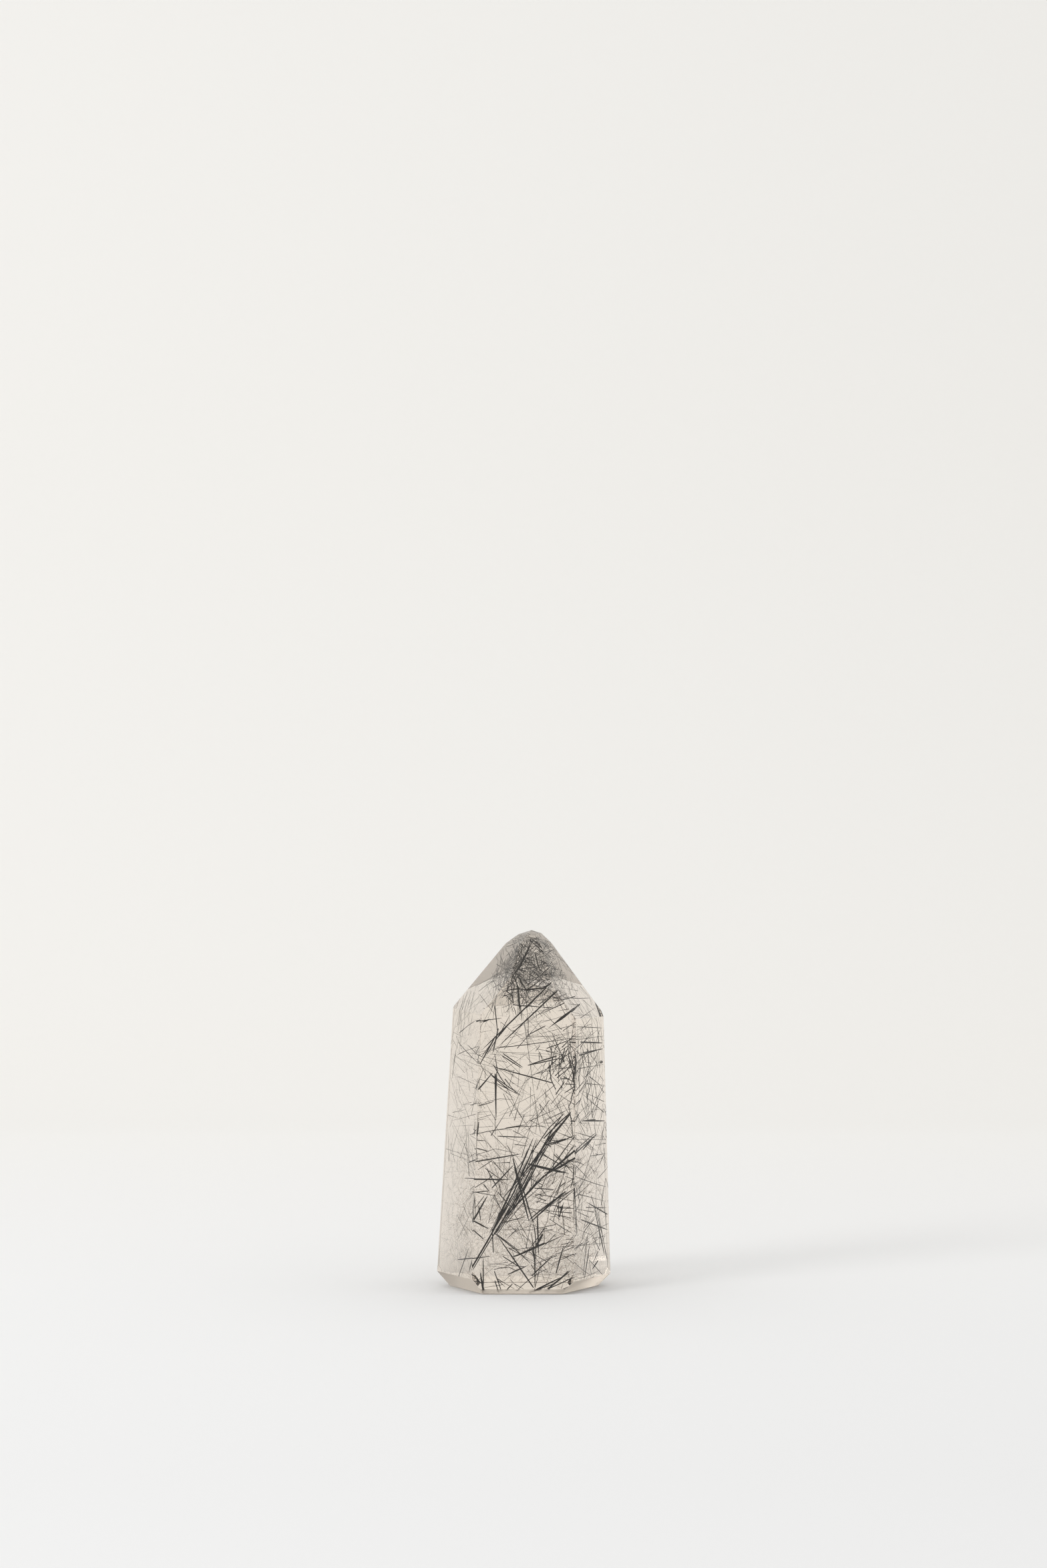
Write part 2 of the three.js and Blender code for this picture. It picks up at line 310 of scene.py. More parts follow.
black_tourmaline = tourmaline_material("black_tourmaline", BLACK, BROWN_BLACK, 0.28, 0.03)
hair_tourmaline = tourmaline_material("hair_tourmaline", HAIR_DARK, HAIR_LIGHT, 0.45, 0.01)
brown_hair = tourmaline_material("brown_hair", HAIR_BROWN, HAIR_TAN, 0.5, 0.01)
for name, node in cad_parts.items():
    if name.startswith("tourmaline"):
        node.data.materials.clear()
        node.data.materials.append(black_tourmaline)

# %% [markdown]
# ## The camera, and finding a needle inside the stone
# The photograph was taken straight on from about 73 cm, with the camera a little above the tip.
# A needle seen through a polished face isn't where it seems to be, because the face bends the
# line of sight. So a needle is written as the photo pixels of its ends, and each end is found by
# following the camera's line to the facet, bending it by the law of refraction, and going on for
# the needle's depth.

# %% Camera
PHOTO_WIDTH = 1568
PHOTO_HEIGHT = 2349
LENS = 85
SENSOR = 36
FOCAL_PIXELS = LENS / SENSOR * PHOTO_HEIGHT
CAMERA_SPOT = Vector((0, -728, 98.7))
HOLDING_TURNS = 6

camera_data = bpy.data.cameras.new("camera")
camera_data.lens = LENS
camera_data.sensor_fit = "VERTICAL"
camera_data.sensor_height = SENSOR
camera_data.clip_start = 0.01
camera = bpy.data.objects.new("camera", camera_data)
camera.location = TO_FRAME @ CAMERA_SPOT
camera.rotation_euler = (math.pi / 2, 0, 0)
bpy.context.scene.collection.objects.link(camera)
bpy.context.scene.camera = camera
print("camera mm", [round(value / MM, 1) for value in camera.location])

# %% Follow a line of sight into the stone


def sight_line(pixel):
    """Where the line through a photo pixel enters the stone, the way it goes on, and the facet."""
    across, down = pixel[:2]
    aim = Vector(((across - PHOTO_WIDTH / 2) / FOCAL_PIXELS, 1, (PHOTO_HEIGHT / 2 - down) / FOCAL_PIXELS))
    aim.normalize()
    facing = [(normal, point) for normal, point in FACETS if normal.dot(aim) < 0]
    reaches = [normal.dot(point - CAMERA_SPOT) / normal.dot(aim) for normal, point in facing]
    reach = max(reaches)
    entered = reaches.index(reach)
    normal = facing[entered][0]
    cosine = -normal.dot(aim)
    ratio = 1 / QUARTZ_IOR
    bend = ratio * cosine - math.sqrt(1 - ratio**2 * (1 - cosine**2))
    return CAMERA_SPOT + aim * reach, aim * ratio + normal * bend, entered


def inside(pixel, depth):
    spot, way, entered = sight_line(pixel)
    return spot + way * depth


def facet_at(pixel):
    return sight_line(pixel)[2]


def held_in(spot, skin):
    """Moves a point back until it is a skin's depth under every facet."""
    for turn in range(HOLDING_TURNS):
        for normal, point in FACETS:
            over = normal.dot(spot - point) + skin
            if over > 0:
                spot = spot - normal * over
    return spot


print("front face is reached at mm", [round(value, 1) for value in sight_line((790, 1700))[0]])

# %% [markdown]
# ## Needles that the photo shows
# Each needle is a closed tube with a few sides, thickest near its middle and drawn out to its
# ends. The lists below hold the needles read off the photo, region by region, with the
# thickness in millimetres first and then the ends. The depth of each end is drawn at random from
# the group's range, so that the needles cross in depth as they do in the stone, unless a third
# number gives it. One that runs on across an arris lies close under it, or the two facets would
# show it broken.

# %% Needles by region
FINE = 0.10
THIN = 0.15
CLEAR = 0.21
STRONG = 0.30
TIP_NEEDLES = [
    (CLEAR, (795, 1407), (794, 1416), (788, 1427), (782, 1440), (776, 1450), (769, 1461), (765, 1470)),
    (THIN, (765, 1470), (766, 1479), (767, 1490), (768, 1501), (769, 1506)),
    (CLEAR, (797, 1409), (795, 1418), (789, 1426), (784, 1438), (778, 1450), (773, 1457), (772, 1466)),
    (CLEAR, (772, 1466), (775, 1477), (777, 1490), (778, 1501), (780, 1517), (782, 1529)),
    (CLEAR, (773, 1457), (777, 1465), (782, 1472), (786, 1479), (789, 1488), (793, 1497)),
    (THIN, (780, 1452), (787, 1450), (794, 1449), (803, 1450)),
    (THIN, (785, 1443), (792, 1441), (798, 1443), (802, 1448)),
    (CLEAR, (801, 1427), (804, 1438), (806, 1447), (809, 1456)),
    (THIN, (805, 1439), (812, 1439), (818, 1442), (822, 1446), (817, 1450), (811, 1450)),
    (THIN, (803, 1421), (812, 1427), (818, 1433), (823, 1438)),
    (CLEAR, (794, 1410), (801, 1414), (807, 1422), (816, 1429), (825, 1433)),
    (CLEAR, (797, 1408), (803, 1411), (807, 1415), (812, 1421)),
    (THIN, (787, 1477), (801, 1468), (814, 1458), (823, 1449)),
    (CLEAR, (789, 1482), (801, 1475), (810, 1467)),
    (THIN, (805, 1479), (812, 1470), (824, 1466)),
    (THIN, (827, 1450), (825, 1459), (823, 1467)),
    (FINE, (816, 1460), (825, 1461)),
    (STRONG, (787, 1483), (804, 1481), (818, 1479), (828, 1470)),
    (THIN, (768, 1502), (758, 1491)),
    (CLEAR, (758, 1484), (766, 1491)),
    (CLEAR, (758, 1484), (773, 1481), (789, 1483)),
    (CLEAR, (768, 1505), (782, 1507), (796, 1507), (812, 1509)),
    (THIN, (812, 1509), (831, 1510)),
    (CLEAR, (771, 1466), (776, 1475), (777, 1486), (776, 1497), (778, 1508), (777, 1521)),
    (THIN, (779, 1490), (785, 1497), (789, 1502)),
    (CLEAR, (775, 1461), (779, 1470), (784, 1478)),
    (FINE, (783, 1459), (785, 1470), (792, 1474)),
    (THIN, (807, 1505), (823, 1493), (836, 1483)),
    (CLEAR, (815, 1490), (821, 1483)),
    (THIN, (827, 1494), (838, 1494), (849, 1488)),
    (THIN, (829, 1499), (843, 1497), (848, 1496)),
    (FINE, (802, 1514), (804, 1526)),
    (FINE, (805, 1514), (812, 1523)),
    (THIN, (769, 1508), (772, 1516), (773, 1521)),
    (FINE, (790, 1409), (786, 1418), (775, 1432), (764, 1448), (752, 1465)),
    (FINE, (768, 1424), (764, 1437), (757, 1448)),
    (FINE, (777, 1409), (782, 1419)),
    (FINE, (785, 1412), (776, 1428), (764, 1441)),
    (FINE, (760, 1432), (752, 1446), (741, 1458)),
    (FINE, (712, 1478), (733, 1466), (758, 1452)),
    (THIN, (717, 1485), (731, 1474), (743, 1468)),
    (CLEAR, (741, 1506), (745, 1545)),
]
UPPER_RIGHT_NEEDLES = [
    (FINE, (794, 1611), (840, 1599)),
    (THIN, (827, 1548), (840, 1578), (845, 1595)),
    (THIN, (852, 1566), (842, 1589), (837, 1597)),
    (FINE, (785, 1533), (793, 1586), (800, 1639)),
    (THIN, (870, 1575), (877, 1607), (884, 1639)),
    (THIN, (881, 1579), (867, 1599)),
    (THIN, (898, 1543), (893, 1560)),
    (CLEAR, (880, 1618), (866, 1638)),
    (CLEAR, (874, 1620), (859, 1635)),
    (CLEAR, (853, 1586), (858, 1607), (862, 1628)),
    (THIN, (858, 1603), (861, 1629)),
    (THIN, (807, 1577), (808, 1590)),
    (THIN, (809, 1566), (802, 1575)),
    (THIN, (822, 1564), (826, 1576)),
    (CLEAR, (824, 1615), (832, 1632)),
    (CLEAR, (840, 1616), (854, 1616)),
    (THIN, (840, 1633), (846, 1612)),
    (FINE, (865, 1537), (866, 1580), (866, 1621)),
    (THIN, (826, 1495), (853, 1496), (884, 1495)),
    (THIN, (864, 1538), (903, 1540)),
    (FINE, (856, 1558), (904, 1552)),
    (THIN, (840, 1574), (852, 1566)),
    (FINE, (847, 1579), (839, 1600)),
    (THIN, (808, 1576), (813, 1590)),
    (FINE, (832, 1578), (832, 1600)),
    (CLEAR, (832, 1640), (846, 1620)),
    (STRONG, (869, 1561), (905, 1562)),
    (CLEAR, (790, 1596), (841, 1585)),
    (CLEAR, (872, 1577), (905, 1571)),
    (CLEAR, (822, 1592), (826, 1622), (833, 1632)),
    (THIN, (825, 1566), (829, 1610)),
    (THIN, (838, 1575), (836, 1622)),
    (CLEAR, (846, 1570), (838, 1600)),
    (THIN, (861, 1576), (863, 1600), (859, 1630)),
    (THIN, (868, 1590), (868, 1630)),
    (THIN, (874, 1580), (869, 1605), (864, 1625)),
    (THIN, (878, 1600), (884, 1625)),
    (THIN, (889, 1618), (896, 1650), (889, 1680)),
    (THIN, (905, 1625), (890, 1655)),
]
UPPER_LEFT_NEEDLES = [
    (THIN, (686, 1561), (700, 1577), (719, 1594)),
    (CLEAR, (736, 1611), (750, 1623), (764, 1634)),
    (THIN, (701, 1566), (712, 1577), (724, 1585)),
    (THIN, (683, 1573), (680, 1594), (677, 1616)),
    (THIN, (712, 1529), (732, 1528), (751, 1525)),
    (STRONG, (723, 1531), (733, 1527)),
    (THIN, (687, 1548), (700, 1537), (712, 1529)),
    (THIN, (743, 1570), (790, 1565), (853, 1556)),
    (FINE, (700, 1485), (693, 1510), (690, 1545), (688, 1580)),
    (FINE, (706, 1484), (698, 1505), (696, 1530), (690, 1562)),
    (FINE, (695, 1490), (690, 1520), (684, 1556)),
    (FINE, (710, 1486), (704, 1512), (702, 1535)),
    (FINE, (744, 1478), (741, 1505), (738, 1530)),
    (FINE, (718, 1489), (731, 1506), (741, 1520)),
    (THIN, (745, 1605), (741, 1579)),
    (CLEAR, (739, 1595), (750, 1615), (758, 1626)),
    (FINE, (755, 1620), (772, 1658), (784, 1678)),
    (FINE, (770, 1602), (764, 1622), (757, 1640)),
    (THIN, (744, 1623), (779, 1641)),
    (FINE, (737, 1620), (772, 1647)),
    (FINE, (717, 1657), (740, 1645), (772, 1648)),
    (FINE, (724, 1600), (713, 1628), (708, 1645)),
    (FINE, (716, 1590), (722, 1600), (730, 1612)),
    (CLEAR, (719, 1594), (742, 1553)),
    (THIN, (729, 1580), (748, 1550), (764, 1520)),
    (THIN, (722, 1582), (738, 1560)),
    (CLEAR, (753, 1578), (783, 1599)),
    (CLEAR, (733, 1608), (757, 1625), (779, 1640)),
    (CLEAR, (716, 1632), (738, 1607)),
    (CLEAR, (744, 1605), (743, 1630), (743, 1650)),
]
MIDDLE_LEFT_NEEDLES = [
    (THIN, (703, 1700), (745, 1692), (788, 1686), (820, 1688)),
    (CLEAR, (757, 1690), (788, 1685)),
    (CLEAR, (717, 1680), (716, 1691), (715, 1702)),
    (CLEAR, (745, 1702), (790, 1704)),
    (FINE, (758, 1640), (790, 1687), (800, 1702)),
    (FINE, (732, 1694), (763, 1725)),
    (THIN, (738, 1738), (715, 1753)),
    (THIN, (738, 1739), (761, 1767)),
    (THIN, (726, 1750), (753, 1769)),
    (CLEAR, (729, 1751), (745, 1780)),
    (THIN, (695, 1765), (728, 1766), (767, 1767)),
    (CLEAR, (714, 1720), (732, 1725)),
    (THIN, (713, 1708), (727, 1709)),
    (THIN, (770, 1714), (790, 1717)),
    (FINE, (696, 1666), (699, 1713), (702, 1761)),
    (THIN, (717, 1657), (740, 1650)),
    (THIN, (704, 1782), (723, 1772), (740, 1760)),
    (CLEAR, (709, 1786), (733, 1784)),
    (FINE, (742, 1700), (741, 1670)),
    (CLEAR, (724, 1774), (732, 1784)),
    (THIN, (706, 1785), (745, 1792)),
    (FINE, (700, 1735), (738, 1720), (775, 1728)),
]
MIDDLE_RIGHT_NEEDLES = [
    (CLEAR, (857, 1646), (851, 1660)),
    (THIN, (888, 1675), (886, 1660), (884, 1645)),
    (THIN, (887, 1673), (899, 1643)),
    (FINE, (908, 1707), (866, 1707), (824, 1706)),
    (THIN, (884, 1732), (908, 1728)),
    (CLEAR, (904, 1730), (898, 1744)),
    (THIN, (861, 1762), (884, 1771), (908, 1778)),
    (CLEAR, (808, 1724), (828, 1740), (859, 1751)),
    (THIN, (849, 1737), (875, 1745)),
    (CLEAR, (861, 1747), (859, 1765), (854, 1780)),
    (CLEAR, (847, 1771), (836, 1780)),
    (FINE, (808, 1654), (817, 1687)),
    (FINE, (800, 1640), (804, 1670), (810, 1701)),
    (FINE, (842, 1640), (833, 1662)),
    (THIN, (868, 1682), (877, 1700)),
    (THIN, (832, 1728), (862, 1760)),
    (CLEAR, (800, 1780), (830, 1782)),
    (CLEAR, (829, 1729), (843, 1742)),
    (THIN, (853, 1725), (862, 1716)),
    (FINE, (806, 1662), (802, 1700)),
    (FINE, (872, 1640), (881, 1668), (880, 1700)),
    (THIN, (855, 1742), (883, 1768)),
    (THIN, (895, 1766), (909, 1750)),
    (STRONG, (860, 1728, 0.7), (877, 1714), (894, 1699, 0.9)),
    (CLEAR, (862, 1723, 0.6), (880, 1707), (892, 1697, 0.8)),
    (CLEAR, (820, 1758), (842, 1727), (864, 1700)),
    (STRONG, (814, 1706, 2.0), (833, 1686), (855, 1666, 2.6)),
    (STRONG, (818, 1709, 1.6), (836, 1690), (853, 1671, 2.2)),
    (STRONG, (790, 1743), (820, 1750), (852, 1758)),
    (CLEAR, (822, 1716), (843, 1709), (863, 1700)),
    (STRONG, (768, 1735), (775, 1762), (784, 1785)),
    (THIN, (891, 1709), (880, 1745), (866, 1787)),
    (STRONG, (873, 1679), (906, 1679)),
    (STRONG, (847, 1785), (830, 1799)),
]
LOWER_LEFT_NEEDLES = [
    (CLEAR, (708, 1806), (709, 1828)),
    (THIN, (709, 1786), (712, 1823)),
    (THIN, (725, 1792), (709, 1810)),
    (CLEAR, (706, 1841), (725, 1857)),
    (FINE, (684, 1819), (702, 1854)),
    (FINE, (705, 1817), (695, 1838), (684, 1859)),
    (CLEAR, (685, 1887), (710, 1885), (735, 1882)),
    (CLEAR, (753, 1882), (781, 1900)),
    (CLEAR, (758, 1934), (768, 1923)),
    (THIN, (751, 1832), (786, 1823)),
    (CLEAR, (741, 1848), (770, 1870), (795, 1893)),
    (THIN, (743, 1848), (775, 1872), (800, 1868)),
    (CLEAR, (741, 1918), (744, 1928), (747, 1937)),
    (CLEAR, (740, 1904), (746, 1920), (751, 1936)),
    (THIN, (705, 1908), (722, 1924), (727, 1936)),
    (THIN, (739, 1902), (760, 1897), (775, 1905)),
    (CLEAR, (745, 1785), (757, 1800), (770, 1812)),
    (THIN, (740, 1790), (752, 1816)),
    (THIN, (776, 1840), (760, 1855)),
    (FINE, (694, 1806), (700, 1822)),
]
LOWER_RIGHT_NEEDLES = [
    (THIN, (836, 1796), (837, 1831)),
    (THIN, (823, 1826), (840, 1838), (858, 1848)),
    (FINE, (810, 1871), (860, 1866), (912, 1862)),
    (CLEAR, (890, 1826), (879, 1838), (873, 1848), (872, 1859)),
    (FINE, (845, 1881), (866, 1898), (887, 1914)),
    (THIN, (882, 1887), (902, 1911)),
    (CLEAR, (800, 1887), (801, 1908), (801, 1929)),
    (CLEAR, (796, 1868), (801, 1890)),
    (THIN, (810, 1890), (805, 1915), (800, 1935)),
    (THIN, (893, 1806), (899, 1831), (904, 1860), (909, 1890)),
    (CLEAR, (885, 1790), (893, 1815), (902, 1850), (910, 1890)),
    (CLEAR, (792, 1937), (830, 1924), (852, 1903)),
    (CLEAR, (815, 1935), (845, 1920), (862, 1912)),
    (THIN, (834, 1936), (865, 1924), (890, 1912)),
    (FINE, (860, 1917), (880, 1912), (900, 1902)),
    (THIN, (773, 1935), (790, 1918), (811, 1905)),
    (THIN, (857, 1765), (868, 1800), (866, 1822)),
    (THIN, (905, 1800), (908, 1840)),
    (THIN, (842, 1815), (846, 1850)),
    (FINE, (825, 1790), (820, 1830), (810, 1850)),
    (STRONG, (784, 1783), (792, 1812), (799, 1833)),
    (CLEAR, (799, 1833), (803, 1858), (802, 1885)),
    (STRONG, (832, 1796), (811, 1812), (792, 1828)),
    (CLEAR, (767, 1883), (805, 1868), (843, 1851)),
    (THIN, (795, 1845), (801, 1880), (803, 1915)),
    (CLEAR, (882, 1803), (911, 1819)),
    (CLEAR, (873, 1828), (911, 1842)),
    (CLEAR, (896, 1874), (888, 1892)),
    (CLEAR, (880, 1850), (876, 1882), (874, 1913)),
]
SPRAY_STRANDS = [
    (STRONG, (702, 1906, 0.4), (720, 1873), (738, 1848), (760, 1806), (786, 1752), (804, 1705, 4.4)),
    (CLEAR, (703, 1901, 0.6), (721, 1871), (740, 1843), (767, 1799), (789, 1752), (806, 1706, 4.0)),
    (CLEAR, (706, 1903, 0.5), (723, 1876), (741, 1849), (764, 1808), (784, 1768, 3.0)),
    (STRONG, (737, 1848, 0.9), (756, 1806), (779, 1752), (799, 1704, 4.2)),
    (STRONG, (740, 1850, 0.8), (765, 1810), (790, 1764), (812, 1716), (843, 1669, 5.0)),
    (CLEAR, (743, 1851, 0.9), (768, 1816), (794, 1768), (815, 1722), (850, 1671, 4.8)),
    (CLEAR, (742, 1849, 1.1), (770, 1808), (794, 1764), (820, 1714, 4.2)),
    (CLEAR, (747, 1842, 1.2), (773, 1802), (800, 1748), (817, 1712, 3.8)),
    (STRONG, (855, 1667, 5.0), (832, 1694), (812, 1718), (790, 1752), (753, 1795, 2.0)),
    (CLEAR, (852, 1672, 4.4), (820, 1712), (798, 1746), (764, 1786, 2.2)),
    (CLEAR, (845, 1668, 5.2), (820, 1692), (807, 1705), (790, 1740), (772, 1774, 2.6)),
    (CLEAR, (736, 1847, 1.0), (752, 1812), (776, 1760), (790, 1722, 3.8)),
    (THIN, (750, 1833, 1.4), (780, 1786), (802, 1757, 3.2)),
    (THIN, (756, 1836, 1.2), (790, 1794), (812, 1776, 2.6)),
    (THIN, (733, 1848, 0.7), (754, 1806), (790, 1736, 3.4)),
    (CLEAR, (739, 1877, 0.6), (738, 1860), (737, 1838, 1.2)),
]
GROUPS = {
    "tip": (TIP_NEEDLES, 0.5, 5.0),
    "upper_right": (UPPER_RIGHT_NEEDLES, 0.5, 7.0),
    "upper_left": (UPPER_LEFT_NEEDLES, 0.5, 7.0),
    "middle_left": (MIDDLE_LEFT_NEEDLES, 0.5, 6.0),
    "middle_right": (MIDDLE_RIGHT_NEEDLES, 0.5, 6.0),
    "lower_left": (LOWER_LEFT_NEEDLES, 0.5, 6.0),
    "lower_right": (LOWER_RIGHT_NEEDLES, 0.5, 6.0),
    "spray": (SPRAY_STRANDS, 0.3, 3.0),
}
print("needles read from the photo", sum(len(group[0]) for group in GROUPS.values()))

# %% Build a needle
NEEDLE_SIDES = 5
ACROSS_ARRIS = (0.25, 0.8)
CLEARANCE = 0.07
NEEDLE_PROFILE = [(0.0, 0.25), (0.03, 0.8), (0.25, 1.0), (0.6, 1.0), (0.85, 0.8), (0.97, 0.5), (1.0, 0.12)]


def along(spots, share):
    """The point a share of the way along a run of spots, and the direction there."""
    lengths = [(b - a).length for a, b in zip(spots, spots[1:])]
    left = share * sum(lengths)
    for start, end, length in zip(spots, spots[1:], lengths):
        if left <= length or end is spots[-1]:
            return start + (end - start) * min(left / length, 1), (end - start).normalized()
        left -= length


def add_needle(bm, spots, width):
    """One closed needle through the spots, in millimetres."""
    rings = []
    for share, fullness in NEEDLE_PROFILE:
        centre, way = along(spots, share)
        side = way.orthogonal().normalized() if not rings else (side - way * side.dot(way)).normalized()
        up = way.cross(side)
        ring = []
        for corner in range(NEEDLE_SIDES):
            turn = 2 * math.pi * corner / NEEDLE_SIDES
            out = side * math.cos(turn) + up * math.sin(turn)
            ring.append(bm.verts.new(centre + out * (width / 2 * fullness)))
        rings.append(ring)
    for ring, following in zip(rings, rings[1:]):
        for corner in range(NEEDLE_SIDES):
            after = (corner + 1) % NEEDLE_SIDES
            bm.faces.new((ring[corner], ring[after], following[after], following[corner]))
    bm.faces.new(list(reversed(rings[0])))
    bm.faces.new(rings[-1])


def needle_piece(name, needles, nearest, deepest, seed):
    draw = random.Random(seed)
    bm = bmesh.new()
    for width, *pixels in needles:
        crosses = len({facet_at(pixel) for pixel in pixels}) > 1
        ends = [draw.uniform(*(ACROSS_ARRIS if crosses else (nearest, deepest))) for end in range(2)]
        outer = (pixels[0], pixels[-1])
        first, last = [pixel[2] if len(pixel) == 3 else end for pixel, end in zip(outer, ends)]
        count = len(pixels) - 1
        depths = [first + (last - first) * step / count for step in range(count + 1)]
        skin = width / 2 + CLEARANCE
        spots = [held_in(inside(pixel, depth), skin) for pixel, depth in zip(pixels, depths)]
        add_needle(bm, spots, width)
    bmesh.ops.transform(bm, matrix=TO_FRAME, verts=bm.verts)
    piece = working_object(name, bm)
    piece.data.materials.append(black_tourmaline)
    return piece


needle_pieces = []
for seed, (region, (needles, nearest, deepest)) in enumerate(GROUPS.items()):
    needle_pieces.append(needle_piece(f"needles_{region}", needles, nearest, deepest, seed + 11))
print("needle pieces", [(piece.name, len(piece.data.polygons)) for piece in needle_pieces])

# %% [markdown]
# ## Needles and hairs all through the stone
# Thousands of needles and hairs too fine to place one by one fill the rest. They are a rule:
# many sprays, each a handful of needles that start near one spot and fan out, every one stopped
# before the polish. Geometry Nodes suit this. The tree scatters points, gives each spray a direction, looks
# forward and back along it with Raycast to see how far the stone goes, sets a tapered needle
# there, bends the lot gently with noise, and ends in Realize Instances and Set Material.

# %% Geometry Nodes helpers
LOOK_REACH = 0.2
SHORTEST_KEPT = 0.001
TIP_FULLNESS = 0.16
ROOT_FULLNESS = 0.5


class Tree:
    """A small helper that adds nodes to a geometry tree and links them by socket name."""

    def __init__(self, name):
        self.tree = bpy.data.node_groups.new(name, "GeometryNodeTree")
        self.tree.interface.new_socket("Geometry", in_out="INPUT", socket_type="NodeSocketGeometry")
        self.tree.interface.new_socket("Geometry", in_out="OUTPUT", socket_type="NodeSocketGeometry")
        self.source = self.tree.nodes.new("NodeGroupInput")
        self.result = self.tree.nodes.new("NodeGroupOutput")

    def named_input(self, name, kind, default=None):
        socket = self.tree.interface.new_socket(name, in_out="INPUT", socket_type=kind)
        if default is not None:
            socket.default_value = default
        return socket

    def add(self, kind, settings=None, **links):
        node = self.tree.nodes.new(kind)
        for key, value in (settings or {}).items():
            setattr(node, key, value)
        for key, value in links.items():
            self.feed(node, key.replace("_", " "), value)
        return node

    def feed(self, node, key, value):
        index = int(key[1:]) if key[0] == "i" and key[1:].isdigit() else key
        socket = node.inputs[index]
        if isinstance(value, bpy.types.NodeSocket):
            self.tree.links.new(value, socket)
        else:
            socket.default_value = value

    def sum_of(self, kind, first, second):
        node = self.add("ShaderNodeMath", {"operation": kind}, i0=first, i1=second)
        return node.outputs[0]

    def vector(self, kind, first, second=None, scale=None):
        node = self.add("ShaderNodeVectorMath", {"operation": kind}, i0=first)
        if second is not None:
            self.feed(node, "i1", second)
        if scale is not None:
            self.feed(node, "Scale", scale)
        return node.outputs["Value"] if kind in ("DOT_PRODUCT", "LENGTH") else node.outputs["Vector"]

    def random_number(self, low, high, seed, identity=None):
        node = self.add("FunctionNodeRandomValue", {"data_type": "FLOAT"})
        self.feed(node, "i2", low)
        self.feed(node, "i3", high)
        self.feed(node, "Seed", seed)
        if identity is not None:
            self.feed(node, "ID", identity)
        return node.outputs[1]

    def random_vector(self, low, high, seed, identity=None):
        node = self.add("FunctionNodeRandomValue", {"data_type": "FLOAT_VECTOR"})
        self.feed(node, "i0", low)
        self.feed(node, "i1", high)
        self.feed(node, "Seed", seed)
        if identity is not None:
            self.feed(node, "ID", identity)
        return node.outputs[0]


